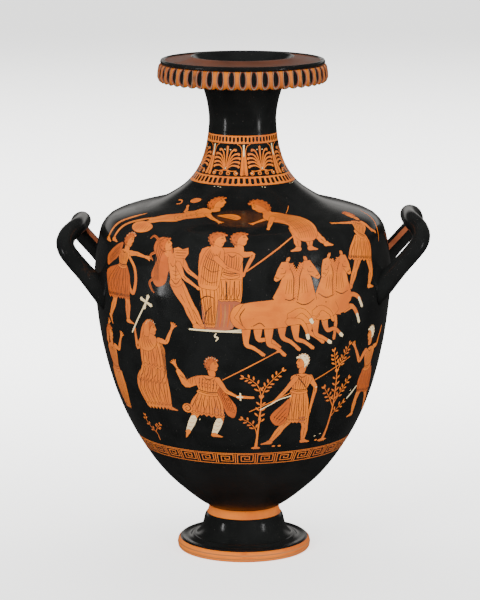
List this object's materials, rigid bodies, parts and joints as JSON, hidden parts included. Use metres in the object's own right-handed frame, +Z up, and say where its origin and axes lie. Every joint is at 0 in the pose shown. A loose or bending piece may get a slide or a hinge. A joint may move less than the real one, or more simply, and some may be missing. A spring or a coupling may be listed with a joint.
{
  "type": "terracotta hydria",
  "caption": "Tall three-handled fired clay water jar with a broad shoulder, slim neck, moulded mouth and spreading foot, glossy black with clay-red figures.",
  "frame": {"origin": "on the axis, at the plane of the foot's resting ring", "axes": "+Z up the axis from foot to mouth, +X through the right side handle, -Y out of the decorated front"},
  "size_m": [0.458, 0.3684, 0.62],
  "materials": {
    "black_slip_clay": "fired orange clay under a glossy black slip, with figures and bands left in the clay colour"
  },
  "bodies": {
    "root": {"hydria": "black_slip_clay"}
  },
  "joints": []
}
